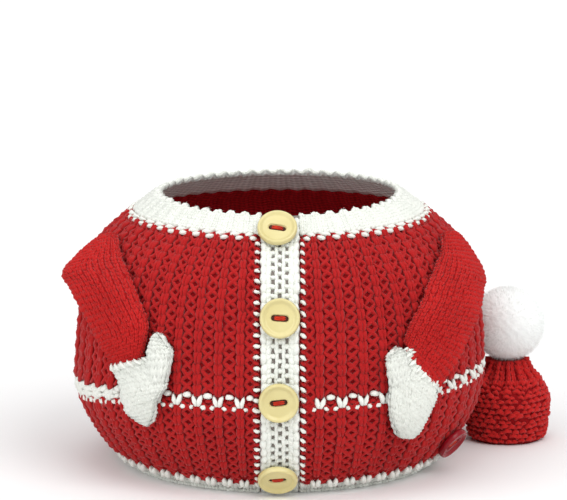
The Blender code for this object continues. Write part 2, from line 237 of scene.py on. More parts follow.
def outward(points, triangles):  # the triangles, turned if they face inwards
    a, b, d = (points[triangles[:, k]] for k in range(3))
    volume = np.einsum("ij,ij->i", a - points.mean(0), np.cross(b - a, d - a)).sum()
    return triangles if volume > 0 else triangles[:, ::-1]


def clothShell(columns, rows, place, outer, inner, fine=1):
    # a closed sheet between two lifts, joined round its rim
    across = columns * fine + 1
    c, r = np.meshgrid(np.linspace(0, columns, across), np.linspace(0, rows, rows + 1))
    c, r = c.ravel(), r.ravel()
    faces = gridTriangles(across - 1, rows, across)
    count = len(c)
    rim = np.concatenate((np.arange(0, across - 1), np.arange(across - 1, count - 1, across),
                          np.arange(count - 1, count - across, -1), np.arange(count - across, 0, -across)))
    after = np.roll(rim, -1)
    side = np.concatenate((np.stack((rim, rim + count, after), -1),
                           np.stack((rim + count, after + count, after), -1)))
    points = np.concatenate((place(c, r, outer), place(c, r, inner)))
    triangles = outward(points, np.concatenate((faces, faces[:, ::-1] + count, side)))
    spots = np.stack((c, r), -1)
    uv = np.concatenate((spots, spots))[triangles]
    kinds = np.repeat((0, 1, 0), (len(faces), len(faces), len(side)))
    return points, triangles, uv, kinds


def closedTube(points, c, r, sides, walls):  # rings of points, closed at the first and the last
    count = len(points)
    ends = fan(count, 0, sides, True), fan(count + 1, count - sides, sides)
    points = np.concatenate((points, [points[:sides].mean(0)], [points[-sides:].mean(0)]))
    triangles = outward(points, np.concatenate((walls, *ends)))
    spots = np.concatenate((np.stack((c, r), -1), [(0, r[0])], [(0, r[-1])]))
    return points, triangles, spots[triangles]


def strand(spots, scale, radii, sides=5):
    # a bit of yarn through (across, along, up) spots, with a radius at each one between its two tips
    path = np.array(spots, float) * scale
    ahead = np.gradient(path, axis=0)
    ahead /= np.linalg.norm(ahead, axis=1)[:, None]
    side = np.cross(ahead, (0.0, 0.0, 1.0))
    side /= np.linalg.norm(side, axis=1)[:, None]
    rise = np.cross(side, ahead)
    turn = 2 * np.pi * np.arange(sides) / sides
    rings = [path[i] + radius * (np.cos(turn)[:, None] * side[i] + np.sin(turn)[:, None] * rise[i])
             for i, radius in enumerate(radii, 1)]
    points = np.concatenate([path[:1], *rings, path[-1:]])
    count = len(rings)
    last = len(points) - 1
    faces, uv = [], []

    def face(spots, at):
        faces.append(spots)
        uv.append([(u / sides, v / (count + 1)) for u, v in at])

    for k in range(sides):
        n = (k + 1) % sides
        face((0, 1 + n, 1 + k), ((k, 0), (k + 1, 1), (k, 1)))
        for i in range(count - 1):
            a, b = 1 + i * sides, 1 + (i + 1) * sides
            face((a + k, b + n, b + k), ((k, i + 1), (k + 1, i + 2), (k, i + 2)))
            face((a + k, a + n, b + n), ((k, i + 1), (k + 1, i + 1), (k + 1, i + 2)))
        a = 1 + (count - 1) * sides
        face((a + k, a + n, last), ((k, count), (k + 1, count), (k, count + 1)))
    return points, np.array(faces), np.array(uv)


def joined(*parts):
    shift = np.cumsum([0] + [len(p) for p, f, t in parts[:-1]])
    return (np.concatenate([p for p, f, t in parts]),
            np.concatenate([f + s for (p, f, t), s in zip(parts, shift)]),
            np.concatenate([t for p, f, t in parts]))


def knitStitch(width, row, yarn, sides=5, near=0.03):
    # two legs that open upwards from near the middle
    spots = [(near + (0.38 - near) * x, y, z) for x, y, z in (
        (0.0, -0.32, -0.35), (0.2, 0.00, 0.05), (0.49, 0.42, 0.22), (0.77, 0.80, 0.05), (1.0, 1.15, -0.35))]
    radii = yarn * 0.42, yarn * 0.50, yarn * 0.42
    return joined(*[strand(spots, (side * width, row, yarn), radii, sides) for side in (-1, 1)])


def crossing(width, height, yarn, sides=5):
    # two strands that cross in the middle of a rib's valley
    spots = ((-1.30, -0.74, -0.4), (-0.98, -0.48, 0.0), (-0.50, -0.22, 0.1), (0.0, 0.0, 0.25),
             (0.50, 0.22, 0.1), (0.98, 0.48, 0.0), (1.30, 0.74, -0.4))
    radii = [yarn * share for share in (0.46, 0.48, 0.52, 0.48, 0.46)]
    return joined(*[strand(spots, (side * width, height, yarn), radii, sides) for side in (-1, 1)])


def purlBump(width, row, yarn, sides=5, arch=0.10):
    # one rounded bar across the stitch
    spots = [(x, 0.5 + arch * y, z) for x, y, z in (
        (-0.54, -1.0, -0.45), (-0.28, 0.5, 0.08), (0.0, 1.0, 0.22), (0.28, 0.5, 0.08), (0.54, -1.0, -0.45))]
    return strand(spots, (width, row, yarn), (yarn * 0.43, yarn * 0.50, yarn * 0.43), sides)


def leaf(length, slope, yarn, sides=6):
    # a short slanting bit, where stitches are picked up along an edge
    scale = length / 2 * math.cos(slope), length / 2 * math.sin(slope), yarn
    spots = [(t, t, z) for t, z in ((-1, -0.3), (-0.6, 0.0), (0, 0.2), (0.6, 0.0), (1, -0.3))]
    return strand(spots, scale, (yarn * 0.36, yarn * 0.50, yarn * 0.36), sides)


handmade = {  # how far stitches stray, as standard deviations
    "size": 0.06,
    "turn": 5.0,  # degrees
    "place": 0.06,  # of a stitch
    "lift": 0.00008,
    "fluff": 0.00009,
}
hairs = {  # short fibres that stand out of the yarn
    "length": 0.0015,
    "shortest": 0.4,  # of the length
    "width": 0.00009,
    "upright": 0.8,
    "stray": 0.6,
    "tone": (0.0, 0.156),  # the place round and along the yarn whose colour they take: the lit crest of the painted ply shade, so the hairs show as painted highlight specks
}


class Knitting:  # stitches laid on a surface, which end as one mesh
    def __init__(self, place, stitch, row, seed):
        self.place = place  # gives points from columns, rows and lifts
        self.stitch = stitch
        self.row = row
        self.random = np.random.default_rng(seed)
        self.parts = []

    def lay(self, template, columns, rows, lift=0.0, jitter=1.0):
        points, faces, uv = template
        columns, rows = (spread.ravel() for spread in np.broadcast_arrays(columns, rows))
        count = len(columns)
        wobble = self.random.normal(0.0, 1.0, (5, count, 1)) * jitter
        size = 1 + handmade["size"] * wobble[0]
        tip = np.radians(handmade["turn"]) * wobble[1]
        x, y = points[:, 0] * size, points[:, 1] * size
        across = x * np.cos(tip) - y * np.sin(tip)
        along = x * np.sin(tip) + y * np.cos(tip)
        fluff = self.random.normal(0.0, handmade["fluff"], (3, count, len(points)))
        c = columns[:, None] + handmade["place"] * wobble[2] + (across + fluff[0]) / self.stitch
        r = rows[:, None] + handmade["place"] * wobble[3] + (along + fluff[1]) / self.row
        up = points[:, 2] * size + lift + handmade["lift"] * wobble[4] + fluff[2]
        laid = self.place(c.ravel(), r.ravel(), up.ravel())
        if outward(laid[:len(points)], faces) is not faces:
            faces, uv = faces[:, ::-1], uv[:, ::-1]
        faces = faces[None] + (np.arange(count) * len(points))[:, None, None]
        self.parts.append((laid, faces.reshape(-1, 3), np.tile(uv, (count, 1, 1))))

    def layEach(self, make, size, columns, rows, lift=0.0, jitter=1.0):
        # size: stitches wide, rows high, yarn and what else the maker takes
        wide, high, *more = size
        self.lay(make(self.stitch * wide, self.row * high, *more), columns, rows, lift, jitter)

    def fuzz(self, count):
        points, faces, uv = joined(*self.parts)
        pick = self.random.integers(0, len(faces), count)
        corners = points[faces[pick]]
        share = self.random.dirichlet((1.0, 1.0, 1.0), count)
        foot = np.einsum("ij,ijk->ik", share, corners)
        normal = np.cross(corners[:, 1] - corners[:, 0], corners[:, 2] - corners[:, 0])
        normal /= np.maximum(np.linalg.norm(normal, axis=1), 1e-12)[:, None]
        ahead = normal * hairs["upright"] + self.random.normal(0.0, hairs["stray"], (count, 3))
        ahead /= np.linalg.norm(ahead, axis=1)[:, None]
        side = np.cross(ahead, normal + 1e-6)
        side *= hairs["width"] / 2 / np.maximum(np.linalg.norm(side, axis=1), 1e-9)[:, None]
        tip = foot + ahead * hairs["length"] * self.random.uniform(hairs["shortest"], 1.0, (count, 1))
        fibres = np.stack((foot - side, foot + side, tip), 1).reshape(-1, 3)
        fibres[:, 2] = np.maximum(fibres[:, 2], 0.0)
        tone = np.tile(hairs["tone"], (count, 3, 1))
        self.parts.append((fibres, np.arange(3 * count).reshape(-1, 3), tone))

    def piece(self, name, surface, slot):
        return addPiece(name, joined(*self.parts), surface, slot)


def yarnSurface(name, light, deep, plyShade=0.30):
    surface = Surface(name, light, 0.90, Specular_IOR_Level=0.15, Sheen_Weight=0.10, Sheen_Roughness=0.5)
    blotch = surface.noise(45.0)
    fibre = surface.noise(1300.0, 4.0)
    around, along = surface.alongYarn()
    ply = ((around * 3.0 + along * 1.6) * (2 * math.pi)).math("SINE") * 0.5 + 0.5
    # the ply wave darkens the yarn between its plies as painted shade; the fibre and blotch noise are the
    # yarn's own uneven tone
    toneAndShade = (fibre - 0.5) * 1.0 + (blotch - 0.5) * 0.8 + (ply - 0.6) * plyShade + 0.5
    surface.tint(toneAndShade, deep, light)
    under = surface.add("Bump", Height=ply, Distance=0.00022, Strength=0.7)
    surface.roughen(fibre, 0.00018, 0.6, Normal=under)
    return surface


def shadeBackingSurface(name, light, deep):
    # the cloth behind the stitches, darker than the yarn as painted shade in the gaps between them
    surface = Surface(name, light, 0.95, Specular_IOR_Level=0.1)
    toneAndShade = surface.noise(1500.0, 3.0) * 0.6 + surface.noise(420.0) * 0.4
    surface.tint(toneAndShade, deep, light)
    surface.roughen(toneAndShade, 0.0005, 0.7)
    return surface


def insideSurface(name, light, deep):
    # the wrong side of the knitting, with a bar for each stitch; the bars are lighter and the gaps between
    # them darker as painted shade
    surface = Surface(name, light, 0.92, Specular_IOR_Level=0.1)
    column, row = surface.alongYarn()
    bars = (column * (2 * math.pi)).math("SINE") * 0.25 + (row * (2 * math.pi)).math("SINE") * 0.35 + 0.5
    toneAndShade = bars * 0.7 + surface.noise(1500.0, 3.0) * 0.4
    surface.tint(toneAndShade, deep, light)
    surface.roughen(toneAndShade, 0.0008, 0.8)
    return surface


tones = {  # the light and the deep colour of each finish
    "redYarn": ((0.47, 0.013, 0.013), (0.32, 0.007, 0.008)),
    # a lighter copy of the red yarn, painted light, used on the sleeves, the mitten wrists and the hat
    "paintedLighterRed": ((0.60, 0.019, 0.018), (0.42, 0.011, 0.010)),
    "whiteYarn": ((0.86, 0.87, 0.82), (0.71, 0.735, 0.68)),
    # the backings are darker than their yarn: painted shade in the gaps between stitches; the sleeve
    # backing is kept lighter to go with the lighter sleeve yarn, which is painted light
    "redShadeBacking": ((0.32, 0.007, 0.009), (0.16, 0.003, 0.005)),
    "sleeveShadeBacking": ((0.42, 0.010, 0.011), (0.26, 0.006, 0.007)),
    "bandShadeBacking": ((0.30, 0.27, 0.24), (0.16, 0.13, 0.12)),
    "whiteShadeBacking": ((0.66, 0.67, 0.62), (0.40, 0.41, 0.38)),
    "redInside": ((0.50, 0.012, 0.018), (0.20, 0.003, 0.006)),
    "whiteInside": ((0.82, 0.84, 0.80), (0.50, 0.52, 0.49)),
}
redYarn, paintedLighterRedYarn, whiteYarn = (
    yarnSurface(name, *tones[name]) for name in ("redYarn", "paintedLighterRed", "whiteYarn"))
redShadeBacking, sleeveShadeBacking, bandShadeBacking, whiteShadeBacking = (shadeBackingSurface(name, *tones[name]) for name in (
    "redShadeBacking", "sleeveShadeBacking", "bandShadeBacking", "whiteShadeBacking"))
redInside, whiteInside = (insideSurface(name, *tones[name]) for name in ("redInside", "whiteInside"))
print("finishes made")

ribbed = {
    "repeat": 4,  # stitches in a rib
    "frontRibs": 12.5,
    "frontReach": 82.8,  # bearing of a front's last valley, but for the pull of the slit and seam
    "backRibs": 26,
    "rowHeight": 0.00243,
    "stitchWidth": 0.00257,
    "ribRise": 0.0010,
    "ridgeLift": -0.00115,
    "valleyLift": -0.00140,
    "sheet": (-0.0015, -0.0027),
    "hemRows": 3,
    "edgeDraw": 0.58,  # stitches by which the ribs are drawn to the band
    "firstRidge": 6.0,  # rows up to the first red stitch of a ridge
    "firstCrossing": 3.4,
    "stripeHeight": 0.0438,
    "sag": {  # where the rows dip beside the spout's slit
        "depth": 0.0122, "bearing": -84.0, "spread": 34.0, "height": 0.040, "tall": 0.021, "foot": 0.012},
    "fibres": 38000,
    # stitches wide, rows high, yarn, sides, then where the legs start
    "ridge": (1.50, 2.0, 0.0025, 5, 0.14),
    "crossing": (1.06, 2.0, 0.0023),
    "stripeStitch": (2.3, 1.75, 0.0024, 6, 0.05),
    "hemStitch": (2.3, 1.7, 0.0034, 6, 0.12),
    # stitches wide, rows high, yarn, sides, then the arch
    "stripeGround": (1.5, 1.0, 0.0020),
    "stripeDot": (1.6, 1.0, 0.0026, 6),
    "stripeBar": (1.3, 1.0, 0.0024),
    "hemBump": (1.3, 1.0, 0.0028, 5, 0.2),
    "hemRidge": (2.6, 1.0, 0.0034, 6),
    # length, slope, yarn
    "stripeLeaf": (0.0030, 0.35, 0.0022),
    "valleyTop": (0.0068, -0.1, 0.0024),
    "ridgeTop": (0.0088, -0.25, 0.0026),
    "bandSlopes": (0.10, -0.55),  # of the bits beside the band, on the left and the right front
    "redBeside": (0.0038, 0.0018, 0.72, 4.4, -0.0004),  # length, yarn, column, first row, lift
    "whiteBeside": (0.0042, 0.0019, 0.60, 3.5, 0.0003),
}
rowCount = round(fineRun[-1] / ribbed["rowHeight"])
stripeRow = float(np.interp(ribbed["stripeHeight"], fineHeights, fineRun)) / ribbed["rowHeight"]
stripeRow = ribbed["firstRidge"] + 2 * round((stripeRow - ribbed["firstRidge"]) / 2)


def frontBearing(side, slit):
    def bearing(share, height):
        edge, rest = bandEdge(height, side, body["seamGap"]), side * ribbed["frontReach"]
        return edge + share * (rest - edge) + share**3 * (slitEdge(slit, height, -side) - rest)
    return bearing


def backBearing(share, height):
    start = slitEdge(handleSlit, height, 1)
    return start + share * (360.0 + slitEdge(spoutSlit, height, -1) - start)


def panelPlace(bearing, columns, first):
    sag = ribbed["sag"]

    def place(column, row, lift):
        height = np.interp(row / rowCount * fineRun[-1], fineRun, fineHeights)
        share = column / columns
        if first > 0.5:
            drawn = ribbed["edgeDraw"] / columns * np.clip(column / ribbed["repeat"], 0.0, 1.0)
            share = share - drawn * (1 - share**3)
        turn = (bearing(share, height) + 180.0) % 360.0 - 180.0
        pulled = np.exp(-((turn - sag["bearing"]) / sag["spread"]) ** 2)
        pulled = pulled * np.exp(-((height - sag["height"]) / sag["tall"]) ** 2)
        height = height - sag["depth"] * pulled * np.clip(height / sag["foot"], 0.0, 1.0)
        height = height + (neckSeam(turn) - body["neckSeam"]) * (height / body["neckSeam"]) ** 2
        along = np.maximum(column / ribbed["repeat"] - first, -0.5)
        rib = ribbed["ribRise"] * (0.5 + 0.5 * np.cos(2 * np.pi * along)) * reliefShare(height)
        return onBody(bearing(share, height), height, lift + rib)
    return place


def ribbedPanel(name, node, bearing, ribs, first, seed, side=0):
    columns = round(ribs * ribbed["repeat"])
    stitch, row = ribbed["stitchWidth"], ribbed["rowHeight"]
    place = panelPlace(bearing, columns, first)
    sheet = addPiece(name + "Cloth", clothShell(columns, rowCount, place, *ribbed["sheet"]),
                     (redShadeBacking, redInside), "red_yarn", node)
    ridges = (np.arange(first, ribs - 0.2) * ribbed["repeat"])[:, None]
    valleys = (np.arange(first - 0.5, ribs - 0.2) * ribbed["repeat"])[:, None]
    edges = np.array(((columns - 0.55,),) if side else ((0.45,), (columns - 0.55,)))
    inner = valleys[(valleys > 1.5) & (valleys < columns - 1.5)][:, None]
    dotted = inner[1:] if side > 0 else inner
    spots = [(0.0, y, z) for y, z in ((-1.1, -0.4), (-0.6, 0.0), (0.0, 0.1), (0.6, 0.0), (1.1, -0.4))]
    spine = strand(spots, (stitch, row, 0.0022), (0.0009, 0.0011, 0.0009))
    ridgeLift, valleyLift = ribbed["ridgeLift"], ribbed["valleyLift"]

    def layBeside(knit, length, yarn, column, firstRow, lift):  # slanting bits along the band
        bits = leaf(length, ribbed["bandSlopes"][side > 0], yarn)
        knit.lay(bits, column, np.arange(firstRow, rowCount - 1.0, 2.0), lift, 0.6)

    top = rowCount - 0.6
    for low, high in ((0.0, rowCount / 2), (rowCount / 2, top)) if ribs > 20 else ((0.0, top),):
        red = Knitting(place, stitch, row, seed + int(low))
        rows = np.arange(ribbed["firstRidge"], high, 2.0)
        rows = rows[(rows >= low) & (rows != stripeRow)]
        red.layEach(knitStitch, ribbed["ridge"], ridges, rows[None], ridgeLift, 0.6)
        red.lay(spine, ridges, rows[None] + 1.3, ridgeLift - 0.0002, 0.4)
        rows = np.arange(ribbed["firstCrossing"], high + 0.4, 2.0)
        rows = rows[(rows >= low) & (np.abs(rows - stripeRow - 0.9) > 1.0)]
        red.layEach(crossing, ribbed["crossing"], inner, rows[None], valleyLift, 0.6)
        red.layEach(crossing, ribbed["crossing"], edges, rows[None], valleyLift, 0.6)
        if side:
            layBeside(red, *ribbed["redBeside"])
        if low <= stripeRow < high:
            red.layEach(purlBump, ribbed["stripeGround"], inner, stripeRow + 0.1, valleyLift)
            if side > 0:
                rows = stripeRow + np.array((-0.3, 1.4))
                red.layEach(crossing, ribbed["crossing"], inner[:1], rows, valleyLift, 0.6)
        red.fuzz(ribbed["fibres"])
        red.piece(name + ("UpperYarn" if low else "Yarn"), redYarn, "red_yarn")

    white = Knitting(place, stitch, row, seed + 500)
    middle = stripeRow + 0.85
    white.layEach(knitStitch, ribbed["stripeStitch"], ridges, stripeRow + 0.1, ridgeLift + 0.0003, 0.5)
    white.layEach(purlBump, ribbed["stripeDot"], dotted, middle + 0.35, -0.0010, 0.5)
    length, slope, yarn = ribbed["stripeLeaf"]
    for way, lower in ((-1, dotted), (1, inner)):
        white.lay(leaf(length, way * slope, yarn), lower + 0.82 * way, middle - 1.25, -0.0008, 0.5)
    if side < 0:
        for start, drop in ((30.0, 0.9), (30.5, 0.1)):
            white.layEach(purlBump, ribbed["stripeBar"], np.arange(start, columns), middle - drop, -0.0011)
    for r in range(ribbed["hemRows"]):
        white.layEach(purlBump, ribbed["hemBump"], np.arange(columns) + 0.5, r - 0.45, -0.0014)
    white.layEach(purlBump, ribbed["hemRidge"], ridges, 2.1, ridgeLift + 0.0002, 0.5)
    white.layEach(knitStitch, ribbed["hemStitch"], ridges, 2.6, ridgeLift + 0.0006, 0.5)
    white.lay(leaf(*ribbed["valleyTop"]), valleys, rowCount - 1.15, -0.0004, 0.6)
    white.lay(leaf(*ribbed["ridgeTop"]), ridges - 0.8, rowCount - 0.4, -0.0005, 0.5)
    if side:
        layBeside(white, *ribbed["whiteBeside"])
    white.fuzz(ribbed["fibres"] // 6)
    white.piece(name + "WhiteYarn", whiteYarn, "white_yarn")
    width = float(np.radians(abs(bearing(1.0, 0.056) - bearing(0.0, 0.056))) * bodyRadius(0.056))
    print(name, "knitted:", columns, "columns,", rowCount, "rows")


ribbedPanel("frontLeft", "front_left", frontBearing(-1, spoutSlit), ribbed["frontRibs"], 1.0, 11, -1)
ribbedPanel("frontRight", "front_right", frontBearing(1, handleSlit), ribbed["frontRibs"], 1.0, 12, 1)
ribbedPanel("back", "back_panel", backBearing, ribbed["backRibs"], 0.5, 13)

band = {
    "columns": 6,
    "rowHeight": 0.00232,
    "edgeRise": 0.0006,
    "lift": -0.00145,
    "sheet": (-0.0017, -0.0026),
    "yarn": 0.0026,
    "slants": ((1.22, 1), (4.78, -1)),  # columns, and the way each leans
    "slantRadii": (0.00115, 0.00138, 0.00115),
    "edges": ((0.52,), (5.48,)),
    "edgeRadii": (0.00140, 0.00175, 0.00140),
    "posts": (2.45, 3.55),
    "postRadii": (0.00080, 0.00098, 0.00080),
    "rungs": ((1.9, 1.0), (3.0, 0.0), (4.1, 1.0)),  # columns, first rows; a small hole at every second row
    "rungRadii": (0.00115, 0.00132, 0.00115),
    "fibres": 9000,
}
bandHeights = np.linspace(0.0, body["neckTop"], 700)
bandSteps = runOf(bandHeights, bodyRadius(bandHeights))
bandRun = bandSteps[-1]
bandRows = int(bandRun / band["rowHeight"])
bandStitch = 2 * body["bandHalf"] / band["columns"]


def bandPlace(column, row, lift):
    height = np.interp(row * band["rowHeight"], bandSteps, bandHeights)
    share = column / band["columns"]
    edge = band["edgeRise"] * np.clip(np.abs(2 * share - 1) * 2.4 - 1.2, 0.0, 1.0) * reliefShare(height)
    return onBody(bandEdge(height, -1) + share * 2 * bandEdge(height, 1), height, lift + edge)


bandShell = clothShell(band["columns"], bandRows, bandPlace, *band["sheet"], 2)
bandSheet = addPiece("bandCloth", bandShell, (bandShadeBacking, whiteInside), "white_yarn", "button_band")
bandKnit = Knitting(bandPlace, bandStitch, band["rowHeight"], 21)
bandLines = np.arange(0.0, bandRows - 1.0)
bandScale = bandStitch, band["rowHeight"], band["yarn"]
for column, side in band["slants"]:
    spots = [(side * x, y, z) for x, y, z in (
        (-0.26, -0.55, -0.4), (-0.14, -0.05, 0.0), (0.0, 0.5, 0.2), (0.14, 1.05, 0.0), (0.26, 1.55, -0.4))]
    slant = strand(spots, bandScale, band["slantRadii"], 6)
    bandKnit.lay(slant, column, bandLines, band["lift"] - 0.0002, 0.8)
spots = [(0.0, y, z) for y, z in ((-0.45, -0.4), (0.1, 0.0), (1.0, 0.25), (1.9, 0.0), (2.45, -0.4))]
edge = strand(spots, bandScale, band["edgeRadii"], 7)
bandKnit.lay(edge, np.array(band["edges"]), bandLines[None, ::2], band["lift"] - 0.0003, 0.6)
spots = [(0.0, y, z) for y, z in ((-1.15, -0.4), (-0.6, 0.05), (0.0, 0.25), (0.6, 0.05), (1.15, -0.4))]
post = strand(spots, (bandStitch, band["rowHeight"], 0.0024), band["postRadii"])
for column in band["posts"]:
    bandKnit.lay(post, column, bandLines + 0.5, band["lift"], 0.8)
spots = [(x, 0.0, z) for x, z in ((-0.62, -0.40), (-0.34, 0.0), (0.0, 0.15), (0.34, 0.0), (0.62, -0.40))]
rung = strand(spots, (bandStitch, band["rowHeight"], 0.0020), band["rungRadii"], 6)
for column, first in band["rungs"]:
    bandKnit.lay(rung, column, np.arange(0.6, bandRows - 1.0, 2.0) + first, band["lift"] - 0.0003, 0.8)
bandKnit.fuzz(band["fibres"])
bandYarn = bandKnit.piece("bandYarn", whiteYarn, "white_yarn")
print("button band knitted")

neck = {
    "columns": 144,
    "rows": 7,
    "radius": 0.0630,
    "tall": 0.0142,
    "ribs": 48,
    "ribRise": 0.0007,
    "scallop": 0.0007,
    "lift": -0.00130,
    "sheet": (-0.0014, -0.0028),
    "stitch": (1.15, 1.45, 0.0025, 4),  # stitches wide, rows high, yarn, sides
    "rim": (1.5, 1.0, 0.0027, 5, 0.25),
    "fibres": 16000,
}
neckStitch = 2 * math.pi * neck["radius"] / neck["columns"]
neckRow = neck["tall"] / neck["rows"]


def neckPlace(column, row, lift):
    share = column / neck["columns"]
    up = row / neck["rows"]
    scallop = neck["scallop"] * np.cos(2 * np.pi * neck["ribs"] * share) * up
    low = neckSeam(180.0 + 360.0 * (share - 0.5)) + body["seamGap"] / 2
    height = low + (body["neckTop"] + scallop - low) * up
    edge = bandEdge(height, 1, body["seamGap"])
    rib = neck["ribRise"] * (0.5 - 0.5 * np.cos(2 * np.pi * neck["ribs"] * share))
    return onBody(edge + share * (360.0 - 2 * edge), height, lift + rib)


neckShell = clothShell(neck["columns"], neck["rows"], neckPlace, *neck["sheet"], 2)
neckSheet = addPiece("neckbandCloth", neckShell, (whiteShadeBacking, whiteInside), "white_yarn", "neckband")
neckKnit = Knitting(neckPlace, neckStitch, neckRow, 22)
neckColumns = np.arange(neck["columns"])[:, None] + 0.5
neckRows = np.arange(neck["rows"] - 1)[None]
neckKnit.layEach(knitStitch, neck["stitch"], neckColumns, neckRows, neck["lift"], 0.6)
neckKnit.layEach(purlBump, neck["rim"], neckColumns, neck["rows"] - 1.1, -0.0018)
neckKnit.fuzz(neck["fibres"])
neckYarn = neckKnit.piece("neckbandYarn", whiteYarn, "white_yarn")
print("neckband knitted")

limbLift = 0.0014  # between a limb and the wall it lies on
sleeveKind = {  # wide and long are the size of a stitch, sheetLift is for the cloth under it
    "thickness": 0.0050, "fuller": 0.0, "yarn": 0.0020, "wide": 0.96, "long": 1.2, "sheetLift": -0.0013,
    "fibres": 18000, "cuffDip": 0.0, "taper": 0.0}
mittenKind = {**sleeveKind, "thickness": 0.0062, "yarn": 0.0026, "wide": 1.15, "long": 1.6}
limbs = {  # each line: bearing and height of the near edge, then of the far edge, which may be fuller
    "sleeveLeft": {
        **sleeveKind, "columns": 26, "rows": 34,
        "fuller": (0.0030, 0.0070, 0.0100, 0.0065, 0.0020, 0.0, 0.0, 0.0),
        "lines": (
            (-69.6, 0.1110, -75.6, 0.1030), (-61.2, 0.1071, -77.6, 0.0960), (-55.6, 0.1036, -78.8, 0.0881),
            (-48.4, 0.0979, -73.6, 0.0843), (-42.4, 0.0897, -65.2, 0.0762), (-37.9, 0.0808, -58.0, 0.0672),
            (-38.2, 0.0713, -53.6, 0.0617), (-39.0, 0.0641, -50.4, 0.0569))},
    "sleeveRight": {
        **sleeveKind, "columns": 28, "rows": 36,
        "fuller": (0.0, 0.0, 0.0010, 0.0005, 0.0, 0.0, 0.0, 0.0),
        "lines": (
            (69.2, 0.1107, 80.8, 0.1074), (61.6, 0.1066, 83.6, 0.0996), (54.0, 0.1024, 84.0, 0.0880),
            (47.2, 0.0962, 77.2, 0.0827), (42.0, 0.0886, 70.0, 0.0756), (37.6, 0.0819, 62.4, 0.0686),
            (35.6, 0.0776, 55.6, 0.0593), (34.4, 0.0735, 47.2, 0.0487))},
    "palmLeft": {
        **mittenKind, "columns": 20, "rows": 15, "fibres": 8000,
        "lines": (
            (-37.2, 0.0647, -50.0, 0.0567), (-32.8, 0.0608, -48.4, 0.0527), (-30.4, 0.0549, -47.2, 0.0476),
            (-32.0, 0.0499, -46.4, 0.0424), (-34.0, 0.0450, -45.6, 0.0382), (-34.6, 0.0398, -42.8, 0.0363),
            (-35.9, 0.0354, -39.8, 0.0346))},
    "thumbLeft": {
        **mittenKind, "columns": 14, "rows": 9, "fibres": 4000,
        "lines": (
            (-30.4, 0.0558, -37.6, 0.0561), (-29.2, 0.0655, -37.6, 0.0632), (-29.2, 0.0704, -37.2, 0.0691),
            (-30.8, 0.0736, -36.6, 0.0735), (-32.8, 0.0769, -35.8, 0.0761))},
    "palmRight": {
        **mittenKind, "columns": 22, "rows": 17, "fibres": 9000,
        "cuffDip": 0.0030, "taper": 0.0012,  # the sleeve reaches into this wrist, which thins towards it
        "lines": (
            (34.4, 0.0713, 46.4, 0.0483), (30.4, 0.0681, 46.0, 0.0453), (28.8, 0.0626, 44.8, 0.0420),
            (29.2, 0.0549, 43.6, 0.0382), (29.0, 0.0462, 42.4, 0.0347), (30.1, 0.0381, 41.2, 0.0314),
            (32.4, 0.0307, 39.4, 0.0292))},
    "thumbRight": {
        **mittenKind, "columns": 14, "rows": 7, "fibres": 3000,
        "lines": (
            (36.4, 0.0579, 29.2, 0.0549), (35.6, 0.0648, 28.4, 0.0645), (34.4, 0.0690, 28.8, 0.0684),
            (32.8, 0.0714, 30.8, 0.0707))},
}
cuff = {  # where a mitten's white ends in teeth on the red of its wrist
    "tooth": (0.0003, 0.0030, 0.0022),  # half its lean, half its length, its rise
    "toothRadii": (0.0010, 0.0011, 0.0007),
    "toothSpacing": 1.7,
    "slim": 0.8,  # the teeth of a wrist that the sleeve reaches into
    "redStitch": (0.0021, 0.0024, 0.0020, 4),
    "redSpacing": (0.78, 0.8),
    "fibres": 1500,
}


def blend(values, share):  # a smooth curve through evenly spaced numbers
    place = np.clip(share, 0.0, 0.99999) * (len(values) - 1)
    i = place.astype(int)
    t = place - i
    before, start, end = values[np.maximum(i - 1, 0)], values[i], values[i + 1]
    after = values[np.minimum(i + 2, len(values) - 1)]
    return 0.5 * (2 * start + (end - before) * t + (2 * before - 5 * start + 4 * end - after) * t**2
                  + (3 * start - before - 3 * end + after) * t**3)


